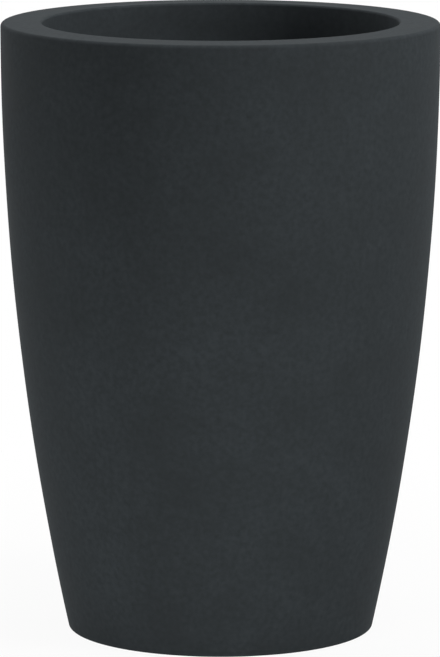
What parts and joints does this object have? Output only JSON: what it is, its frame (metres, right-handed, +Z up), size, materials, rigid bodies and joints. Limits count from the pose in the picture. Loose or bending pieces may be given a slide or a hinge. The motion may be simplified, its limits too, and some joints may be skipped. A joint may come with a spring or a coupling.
{
  "type": "floor planter",
  "caption": "Tall round floor planter: bowed, tapered moulded shell with a wide flat rim and a lift-out self-watering planting insert.",
  "frame": {"origin": "middle of the foot ring, on the floor", "axes": "+Z up along the planter's axis; the filler tube stands at the back, towards +Y, and the lift handles are at +X and -X"},
  "size_m": [0.4, 0.4, 0.56],
  "materials": {
    "anthracite_shell": "satin-matte moulded polyethylene",
    "black_rubber": "soft matte rubber",
    "insert_black": "moulded polypropylene, fine grain",
    "handle_grey": "moulded polypropylene",
    "separator_grey": "moulded polypropylene",
    "gauge_clear": "clear polycarbonate",
    "float_white": "foamed polystyrene",
    "indicator_red": "moulded styrene"
  },
  "bodies": {
    "shell": {"planter_shell": "anthracite_shell"},
    "drain_bung": {"drain_plug": "black_rubber"},
    "insert": {"planting_insert": "insert_black"},
    "handle_right": {"lift_handle_right": "handle_grey"},
    "handle_left": {"lift_handle_left": "handle_grey"},
    "reserve_bung": {"reserve_plug": "black_rubber"},
    "separator": {"separator_floor": "separator_grey", "wick_basket": "separator_grey", "filler_tube": "insert_black", "gauge_tube": "gauge_clear", "gauge_cap": "gauge_clear"},
    "filler_lid": {"filler_cap": "handle_grey"},
    "water_float": {"gauge_float": "float_white", "gauge_rod": "indicator_red"}
  },
  "joints": [
    {"name": "insert_lift", "type": "slide", "parent": "shell", "child": "insert", "axis": [0, 0, 1], "range_m": [0, 0.36]},
    {"name": "drain_plug_pull", "type": "slide", "parent": "shell", "child": "drain_bung", "axis": [0, 0, 1], "range_m": [0, 0.05]},
    {"name": "handle_right_pull", "type": "slide", "parent": "insert", "child": "handle_right", "axis": [0, 0, 1], "range_m": [0, 0.042]},
    {"name": "handle_left_pull", "type": "slide", "parent": "insert", "child": "handle_left", "axis": [0, 0, 1], "range_m": [0, 0.042]},
    {"name": "reserve_plug_pull", "type": "slide", "parent": "insert", "child": "reserve_bung", "axis": [0, 0, 1], "range_m": [0, 0.03]},
    {"name": "separator_lift", "type": "slide", "parent": "insert", "child": "separator", "axis": [0, 0, 1], "range_m": [0, 0.3]},
    {"name": "filler_cap_pull", "type": "slide", "parent": "separator", "child": "filler_lid", "axis": [0, 0, 1], "range_m": [0, 0.04]},
    {"name": "float_rise", "type": "slide", "parent": "separator", "child": "water_float", "axis": [0, 0, 1], "range_m": [0, 0.045]}
  ]
}
